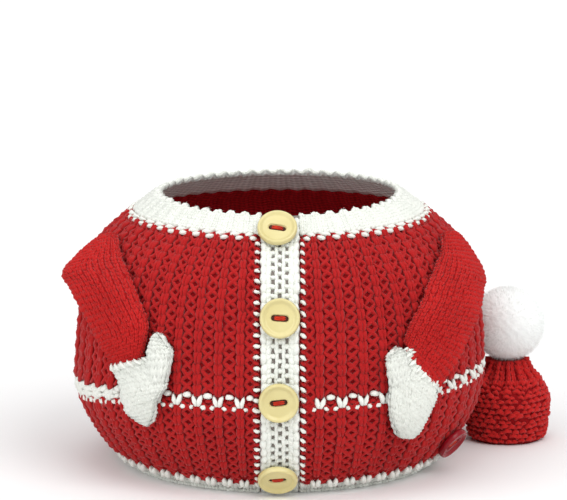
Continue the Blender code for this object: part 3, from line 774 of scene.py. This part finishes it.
class Limb:
    def __init__(self, name):
        self.values = limbs[name]
        self.columns, self.rows = self.values["columns"], self.values["rows"]
        self.lines = np.array(self.values["lines"]).T
        self.fuller = np.broadcast_to(self.values["fuller"], self.lines.shape[1])
        self.turns = np.linspace(0.0, 2 * np.pi, 361)
        middle = self.spots(self.turns, np.full(361, 0.5))
        run = np.concatenate(([0.0], np.cumsum(np.linalg.norm(np.diff(middle, axis=0), axis=1))))
        self.share = run / run[-1]
        ends = self.spots(np.full(50, np.pi / 2), np.linspace(0, 1, 50))
        self.stitch = run[-1] / self.columns
        self.row = np.linalg.norm(np.diff(ends, axis=0), axis=1).sum() / self.rows
        self.sign = 1.0
        across = self.spots(np.array([np.pi / 2, 1.5 * np.pi]), np.array([0.5, 0.5]))
        quarter = np.array([self.columns / 4]), np.array([self.rows / 2])
        rise = self.place(*quarter, 0.001)[0] - self.place(*quarter, 0.0)[0]
        if (rise * (across[0] - across[1])).sum() < 0:  # the normals have to point outwards
            self.sign = -1.0

    def spots(self, turn, along):
        nearAngle, nearHeight, farAngle, farHeight = (blend(v, along) for v in self.lines)
        across = 0.5 - 0.5 * np.cos(turn)
        depth = np.sign(np.sin(turn)) * np.abs(np.sin(turn)) ** 0.6
        thick = self.values["thickness"] + across * blend(self.fuller, along)
        angle = nearAngle + across * (farAngle - nearAngle)
        height = nearHeight + across * (farHeight - nearHeight)
        return onBody(angle, height, limbLift + thick * (0.5 + 0.5 * depth))

    def place(self, column, row, lift):
        turn = np.interp(column / self.columns % 1.0, self.share, self.turns)
        along = np.clip(1.0 - row / self.rows, 0.0, 1.0)
        stepRound, stepAlong = 0.05, 0.02  # to either side, for the slopes of the surface
        du = self.spots(turn + stepRound, along) - self.spots(turn - stepRound, along)
        dv = (self.spots(turn, np.minimum(along + stepAlong, 1.0))
              - self.spots(turn, np.maximum(along - stepAlong, 0.0)))
        normal = np.cross(du, dv)
        normal /= np.maximum(np.linalg.norm(normal, axis=1), 1e-12)[:, None]
        ahead = dv / np.maximum(np.linalg.norm(dv, axis=1), 1e-12)[:, None]
        past = np.where(row > self.rows, self.rows - row, np.where(row < 0, -row, 0.0))
        thinner = self.values["taper"] * np.clip((row - self.rows) / 3 + 1, 0.0, 1.0)
        lift = self.sign * np.broadcast_to(lift - thinner, turn.shape)
        return self.spots(turn, along) + lift[:, None] * normal + ahead * (past * self.row)[:, None]

    def cuffRow(self, column):  # the row where the wrist turns red
        turn = np.interp(column / self.columns % 1.0, self.share, self.turns)
        dip = self.values["cuffDip"] / self.row * (0.2 + np.sin(np.pi * (0.5 - 0.5 * np.cos(turn))))
        return self.rows - dip

    def skin(self):  # a closed tube just under the stitches, sunk further where the wrist is red
        columns, rows = self.columns * 2, self.rows
        c, r = np.meshgrid(np.arange(columns) / 2, np.linspace(0, rows, rows + 1))
        c, r = c.ravel(), r.ravel()
        points = self.place(c, r, self.values["sheetLift"] - 0.0010 * (r > self.cuffRow(c)) * (r < rows))
        return closedTube(points, c, r, columns, gridTriangles(columns, rows, columns))

    def knitting(self, seed):
        return Knitting(self.place, self.stitch, self.row, seed)


def stockinette(limb, knit, rows):
    columns, rows = np.meshgrid(np.arange(limb.columns) + 0.5, rows, indexing="ij")
    own = rows < limb.cuffRow(columns)
    size = limb.values["wide"], limb.values["long"], limb.values["yarn"], 4
    knit.layEach(knitStitch, size, columns[own], rows[own], -limb.values["yarn"] * 0.80)
    knit.fuzz(limb.values["fibres"])


for side, node in (("Left", "sleeve_left"), ("Right", "sleeve_right")):
    limb = Limb("sleeve" + side)
    sleeve = addPiece("sleeve" + side + "Cloth", limb.skin(), sleeveShadeBacking, "red_yarn", node)
    knit = limb.knitting(31 + len(side))
    stockinette(limb, knit, np.arange(0, limb.rows - 0.3))
    yarn = knit.piece("sleeve" + side + "Yarn", paintedLighterRedYarn, "red_yarn")
    print("sleeve", side.lower(), "knitted:", limb.columns, "columns,", limb.rows, "rows")


def layTeeth(limb, knit):
    slim = cuff["slim"] if limb.values["cuffDip"] else 1.0
    spots = [(y, y, z) for y, z in ((-1, -0.4), (-0.5, 0.0), (0, 0.2), (0.5, 0.0), (1, -0.4))]
    teeth = np.arange(0.5, limb.columns, cuff["toothSpacing"] * slim)
    tooth = strand(spots, cuff["tooth"], [radius * slim for radius in cuff["toothRadii"]], 6)
    knit.lay(tooth, teeth, limb.cuffRow(teeth) + 0.1, -0.0005, 0.8)


def redWrist(limb, name):
    knit = limb.knitting(51)
    c, r = np.meshgrid(np.arange(0.4, limb.columns, cuff["redSpacing"][0]),
                       np.arange(0.0, limb.rows + 1.4, cuff["redSpacing"][1]))
    red = r >= limb.cuffRow(c)
    knit.lay(knitStitch(*cuff["redStitch"]), c[red], r[red], -0.0016)
    knit.fuzz(cuff["fibres"])
    return knit.piece(name, paintedLighterRedYarn, "red_yarn")


for side, node in (("Left", "mitten_left"), ("Right", "mitten_right")):
    palm, thumb = Limb("palm" + side), Limb("thumb" + side)
    skin = joined(palm.skin(), thumb.skin())
    mitten = addPiece("mitten" + side + "Cloth", skin, whiteShadeBacking, "white_yarn", node)
    for part, limb in (("Palm", palm), ("Thumb", thumb)):
        knit = limb.knitting(41 + len(side))
        stockinette(limb, knit, np.arange(0.2, limb.rows - 0.3))
        if part == "Palm":
            layTeeth(limb, knit)
        if limb.values["cuffDip"]:
            redWrist(limb, "mitten" + side + "WristYarn")
        knit.piece("mitten" + side + part + "Yarn", whiteYarn, "white_yarn")
print("mittens knitted")

buttons = {
    "radius": 0.0092,
    "sideRadius": 0.0082,
    "thickness": 0.0032,
    "slotHalf": 0.0042,  # of the sunk slot over the two thread holes
    "slotWidth": 0.00155,
    "slotDepth": 0.0011,
    "slotRim": 0.0004,  # over which its wall slopes
    "profile": (  # share of the radius, share of half the thickness
        (0.00, 0.42), (0.30, 0.40), (0.60, 0.36), (0.72, 0.38), (0.80, 0.70), (0.87, 0.98), (0.93, 0.98),
        (0.97, 0.78), (1.00, 0.25)),
    "under": ((1.0, -0.35), (0.96, -0.80), (0.86, -1.0), (0.0001, -1.0)),
    "threadRadii": (0.00050, 0.00055, 0.00055, 0.00055, 0.00050),
    "thread": (0.00042, 0.0001, 0.00040),  # half the gap between the two, their slant, their rise
    # node, its bearing, height and lift on the body, then the bearing and tilt it faces, and its spin
    "sewn": (("button_1", -1.0, 0.1212, 0.0032, -1.0, 46.0, -10.0),
             ("button_2", 0.0, 0.0866, 0.0026, 0.0, 15.0, -4.0),
             ("button_3", -0.3, 0.0489, 0.0027, -0.3, -4.0, 6.0),
             ("button_4", -0.7, 0.0108, 0.0026, -0.7, -40.0, 7.0)),
    "side": ("side_button", 66.0, 0.0168, 0.0032, 58.0, -36.0, 35.0),
}
cream = Surface("creamButton", (0.60, 0.50, 0.25), 0.30, Coat_Weight=0.30, Coat_Roughness=0.18)
cloudy = cream.noise(90.0, 4.0)
cream.tint(cloudy, (0.57, 0.48, 0.19), (0.69, 0.62, 0.31))
cream.set("Roughness", cloudy * 0.15 + 0.28)
cream.roughen(cream.noise(900.0), 0.00005, 0.5)
redPlastic = Surface("redButton", (0.24, 0.006, 0.013), 0.22, Specular_IOR_Level=0.25)
redPlastic.tint(redPlastic.noise(90.0, 4.0), (0.20, 0.004, 0.010), (0.28, 0.008, 0.015))
redPlastic.roughen(redPlastic.noise(900.0), 0.00005, 0.5)
slotShade = Surface("slotShade", (0.06, 0.015, 0.010), 0.9)
slotShade.tint(slotShade.noise(800.0), (0.04, 0.010, 0.007), (0.09, 0.024, 0.015))
thread = yarnSurface("orangeRedThread", (0.62, 0.045, 0.012), (0.34, 0.012, 0.006), 0.8)


def slotShare(x, y):  # 1 in the slot, 0 outside
    away = np.hypot(np.maximum(np.abs(x) - buttons["slotHalf"] + buttons["slotWidth"], 0.0), y)
    return np.clip((buttons["slotWidth"] + buttons["slotRim"] / 2 - away) / buttons["slotRim"], 0.0, 1.0)


def buttonBody(radius, rings=36, sides=72):
    half = buttons["thickness"] / 2
    profile = [(share, half * level) for share, level in buttons["profile"]]
    share = np.linspace(0.0, 1.0, rings + 1)[1:]
    turn = 2 * np.pi * np.arange(sides) / sides
    x = (share[:, None] * radius * np.cos(turn)).ravel()
    y = (share[:, None] * radius * np.sin(turn)).ravel()
    z = np.repeat(smoothThrough(profile, share), sides) - buttons["slotDepth"] * slotShare(x, y)
    points = [np.array([[0.0, 0.0, profile[0][1] - buttons["slotDepth"]]]), np.stack((x, y, z), -1)]
    for scale, level in buttons["under"]:
        points.append(np.stack((radius * scale * np.cos(turn), radius * scale * np.sin(turn),
                                np.full(sides, half * level)), -1))
    faces = np.concatenate((fan(0, 1, sides), gridTriangles(sides, rings + 3, sides)[:, ::-1] + 1))
    return np.concatenate(points), faces


def slotFloor(level, sides=32, thick=0.0005):  # the floor of the slot, dark as painted shade in the recess
    turn = 2 * np.pi * (np.arange(sides) + 0.5) / sides
    wide = buttons["slotWidth"] - buttons["slotRim"] / 2
    reach = buttons["slotHalf"] - buttons["slotWidth"]
    x, y = reach * np.sign(np.cos(turn)) + wide * np.cos(turn), wide * np.sin(turn)
    top = np.stack((x, y, np.full(sides, level)), -1)
    points = np.concatenate(([[0, 0, level]], top, top - (0, 0, thick), [[0, 0, level - thick]]))
    k, n = 1 + np.arange(sides), 1 + (np.arange(sides) + 1) % sides
    faces = np.concatenate((
        fan(0, 1, sides), np.stack((k, sides + k, n), -1), np.stack((n, sides + k, sides + n), -1),
        fan(2 * sides + 1, 1 + sides, sides, True)))
    return points, faces


def addButton(sewn, radius, surface, slot):
    node, angle, height, lift, bearing, tilt, spin = sewn
    place = Matrix.Translation(Vector(onBody(np.array([angle]), np.array([height]), lift)[0]))
    for degrees, axis in ((bearing, "Z"), (90.0 - tilt, "X"), (spin, "Z")):
        place = place @ Matrix.Rotation(math.radians(degrees), 4, axis)
    place = np.array(place)

    def put(points, *others):
        return points @ place[:3, :3].T + place[:3, 3], *others

    name = node.replace("_", "")
    addPiece(name, put(*buttonBody(radius)), surface, slot, node)
    floor = buttons["thickness"] / 2 * buttons["profile"][1][1] - buttons["slotDepth"]
    addPiece(name + "Slot", put(*slotFloor(floor + 0.0001)), slotShade, slot)
    reach, bed = (buttons["slotHalf"] - 0.0008) * 0.86, floor + 0.0002
    gap, slant, rise = buttons["thread"]
    threads = []
    for side in (-1, 1):
        path = [(reach * t, side * gap + slant * t, bed + rise * z) for t, z in (
            (-1.02, -1.0), (-0.72, 0.7), (-0.35, 1.1), (0.0, 1.2), (0.35, 1.1), (0.72, 0.7), (1.02, -1.0))]
        threads.append(strand(path, 1.0, buttons["threadRadii"], 8))
    addPiece(name + "Thread", put(*joined(*threads)), thread, slot)


for sewn in buttons["sewn"]:
    addButton(sewn, buttons["radius"], cream, "cream_button")
addButton(buttons["side"], buttons["sideRadius"], redPlastic, "red_button")
print("buttons made")

hat = {
    "centre": (0.0935, 0.0422),
    "levels": ((0.0000, 0.0176), (0.0040, 0.0192), (0.0110, 0.0202), (0.0180, 0.0205), (0.0240, 0.0196),
               (0.0290, 0.0165), (0.0330, 0.0128), (0.0392, 0.0096)),
    "columns": 32,
    "gathers": 14,
    "gatherRise": 0.0009,
    "gatherFrom": (0.0260, 0.0040),  # the height at which they start, and over which they grow
    "crown": 0.0090,
    "radius": 0.0195,
    "rowHeight": 0.0025,
    "gatherRow": 13,
    "sheet": (-0.0012, -0.0026),
    "bump": (1.08, 1.0, 0.0023, 6, 0.52),  # stitches wide, rows high, yarn, sides, arch
    "upper": (0.95, 1.1, 0.0023),
    "fibres": 12000,
}
hatHeights = np.linspace(0.0, hat["levels"][-1][0], 400)
hatRun = runOf(hatHeights, smoothThrough(hat["levels"], hatHeights))
hatRows = int(hatRun[-1] / hat["rowHeight"])
hatStitch = 2 * math.pi * hat["radius"] / hat["columns"]


def hatPlace(column, row, lift):
    run = row * hat["rowHeight"]
    height = np.interp(run, hatRun, hatHeights)
    over = np.maximum(run - hatRun[-1], 0.0)  # the crown, under the pompom
    turn = 2 * np.pi * column / hat["columns"]
    radius = smoothThrough(hat["levels"], height)
    reach = 0.0005  # to either side, for the slope of the wall
    rise = smoothThrough(hat["levels"], height + reach) - smoothThrough(hat["levels"], height - reach)
    size = np.hypot(2 * reach, rise)
    gathered = np.clip((height - hat["gatherFrom"][0]) / hat["gatherFrom"][1], 0.0, 1.0)
    lift = lift + hat["gatherRise"] * gathered * np.cos(hat["gathers"] * turn)
    radius = np.maximum(radius + lift * 2 * reach / size - over, 0.0002)
    return np.stack((hat["centre"][0] + radius * np.sin(turn), hat["centre"][1] - radius * np.cos(turn),
                     np.maximum(height - lift * rise / size + 0.15 * over, 0.0)), -1)


def hatShell(rows=34):  # down the outside and up the inside, closed at the crown
    columns = hat["columns"] * 3
    crownRow = (hatRun[-1] + hat["crown"]) / hat["rowHeight"]
    lines = np.concatenate((np.linspace(crownRow, 0.0, rows + 1), np.linspace(0.0, crownRow, rows + 1)))
    c, r = np.meshgrid(np.arange(columns) / 3, lines)
    c, r = c.ravel(), r.ravel()
    lift = np.repeat(hat["sheet"], (rows + 1) * columns)
    points = hatPlace(c, r, lift)
    over = r > hatRun[-1] / hat["rowHeight"]
    points[over, 2] += lift[over] * 0.8
    return closedTube(points, c, r, columns, gridTriangles(columns, 2 * rows + 1, columns)[:, ::-1])


hatSheet = addPiece("hatCloth", hatShell(), redShadeBacking, "red_yarn", "hat")
hatKnit = Knitting(hatPlace, hatStitch, hat["rowHeight"], 51)
for r in range(hat["gatherRow"]):
    hatKnit.layEach(purlBump, hat["bump"], np.arange(hat["columns"]) + 0.5 * (r % 2), r, -0.0012, 1.8)
upper = np.arange(hat["gatherRow"] - 0.5, hatRows)
ridges = (np.arange(2 * hat["gathers"]) * hat["columns"] / hat["gathers"] / 2)[:, None]
hatKnit.layEach(knitStitch, hat["upper"], ridges, upper[None], -0.0013)
hatKnit.fuzz(hat["fibres"])
# the hat's yarn is the lighter red copy, painted light against the shade the hat sits in
hatYarn = hatKnit.piece("hatYarn", paintedLighterRedYarn, "red_yarn")
print("hat knitted")

pompom = {
    "height": 0.0562,
    "core": 0.0168,
    "radius": 0.0186,
    "strands": 15000,
    "width": 0.00012,
    "scatter": 0.02,  # of the way each strand points
    "uneven": 0.022,  # of its length
    "bend": 0.0009,
    "root": 0.94,  # of the core, inside which the strands start
    "lumps": 0.016,  # on the core
    "grain": 0.006,
}
pomCentre = np.array((*hat["centre"], pompom["height"]))
pomRandom = np.random.default_rng(61)
pomYarn = Surface("pompomYarn", (0.94, 0.95, 0.94), 0.95, Specular_IOR_Level=0.1, Sheen_Weight=0.2)
pomYarn.tint(pomYarn.noise(260.0, 3.0), (0.88, 0.90, 0.89), (0.96, 0.97, 0.96))
pomYarn.roughen(pomYarn.noise(2200.0, 3.0), 0.0003, 0.6)


def pompomMesh():
    count = pompom["strands"]
    k = np.arange(count) + 0.5
    polar, turn = np.arccos(1 - 2 * k / count), np.pi * (1 + 5**0.5) * k
    out = np.stack((np.sin(polar) * np.cos(turn), np.sin(polar) * np.sin(turn), np.cos(polar)), -1)
    out += pomRandom.normal(0, pompom["scatter"], out.shape)
    out /= np.linalg.norm(out, axis=1)[:, None]
    side = np.cross(out, pomRandom.normal(0, 1, out.shape))
    side /= np.linalg.norm(side, axis=1)[:, None]
    lean = np.cross(out, side)
    length = pompom["radius"] * (1 - np.abs(pomRandom.normal(0, pompom["uneven"], count)) + 0.010)
    bend = pomRandom.normal(0, pompom["bend"], count)
    root = pompom["core"] * pompom["root"]
    points = []
    for share, wide, off in ((0.0, 1.0, 0.0), (0.55, 0.9, 0.35), (1.0, 0.25, 1.0)):  # root, middle, tip
        reach = root + (length - root) * share
        middle = out * reach[:, None] + lean * (bend * off)[:, None]
        half = side * (pompom["width"] / 2 * wide)
        points += [middle - half, middle + half]
    points = np.stack(points[:5], 1)  # the tip is one point
    faces = np.array(((0, 1, 3), (0, 3, 2), (2, 3, 4)))
    triangles = (faces[None] + (np.arange(count) * 5)[:, None, None]).reshape(-1, 3)
    return points.reshape(-1, 3) + pomCentre, triangles


def ball(radius, rings=60, sides=120):
    polar = np.linspace(0, np.pi, rings + 1)[1:-1]
    turn = 2 * np.pi * np.arange(sides) / sides
    x = np.sin(polar)[:, None] * np.cos(turn)
    y = np.sin(polar)[:, None] * np.sin(turn)
    z = np.cos(polar)[:, None] + 0 * turn
    points = np.concatenate((np.stack((x, y, z), -1).reshape(-1, 3), [(0, 0, 1)], [(0, 0, -1)]))
    tufts = np.sin(points * 17.0 + np.sin(points[:, ::-1] * 9.0)).prod(1)
    rough = 1 + pompom["lumps"] * tufts + pomRandom.normal(0.0, pompom["grain"], len(points))
    points = points * radius * rough[:, None]
    faces = np.concatenate((
        gridTriangles(sides, rings - 2, sides)[:, ::-1], fan(len(points) - 2, 0, sides),
        fan(len(points) - 1, (rings - 2) * sides, sides, True)))
    return points + pomCentre, faces


addPiece("pompomFluff", pompomMesh(), pomYarn, "pompom_yarn")
addPiece("pompomHeart", ball(pompom["core"]), pomYarn, "pompom_yarn", "pompom")
print("pompom made")

view = {
    "elevation": 11.3,
    "distance": 2.5,
    "aim": (0.00165, 0.0, 0.0998),  # from the body's axis
    "frameWidth": 0.2665,
    "sensor": 36.0,
}
camera = addObject("camera", bpy.data.cameras.new("camera"))
tilt = math.radians(view["elevation"])
aim = Vector((body["axis"][0] + view["aim"][0], body["axis"][1] + view["aim"][1], view["aim"][2]))
camera.location = aim + Vector((0.0, -math.cos(tilt), math.sin(tilt))) * view["distance"]
camera.rotation_euler = (math.radians(90.0) - tilt, 0.0, 0.0)
camera.data.sensor_width = view["sensor"]
camera.data.lens = view["sensor"] * view["distance"] / view["frameWidth"]
camera.data.clip_end = 20.0
bpy.context.scene.camera = camera

studio = {  # the way each light shines, its strength and its spread in degrees
    "key": {"towards": (-0.60, 0.75, -0.85), "strength": 1.22, "spread": 40.0},
    "fill": {"towards": (0.75, 0.75, -0.65), "strength": 1.02, "spread": 60.0},
    "top": {"towards": (0.0, 0.15, -1.0), "strength": 0.95, "spread": 70.0},
    "world": 0.56,
}
for name in ("key", "fill", "top"):
    lamp = bpy.data.lights.new(name, "SUN")
    lamp.energy = studio[name]["strength"]
    lamp.angle = math.radians(studio[name]["spread"])
    light = addObject(name, lamp)
    light.rotation_euler = Vector(studio[name]["towards"]).to_track_quat("-Z", "Y").to_euler()
world = bpy.data.worlds.new("studio")
world.use_nodes = True
background = world.node_tree.nodes["Background"]
background.inputs["Color"].default_value = (1.0, 1.0, 1.0, 1.0)
background.inputs["Strength"].default_value = studio["world"]
bpy.context.scene.world = world
bpy.context.scene.view_settings.view_transform = "Standard"

paleFloor = Surface("paleFloor", (0.87, 0.87, 0.87), 0.8)
paleFloor.tint(paleFloor.noise(3.0), (0.86, 0.86, 0.86), (0.88, 0.88, 0.88))
corners = np.array(((-3, -3, 0), (3, -3, 0), (3, 3, 0), (-3, 3, 0)), float)
floor = addObject("floor", meshFromArrays("floor", corners, np.array(((0, 1, 2), (0, 2, 3)))))
floor.data.materials.append(paleFloor.material)
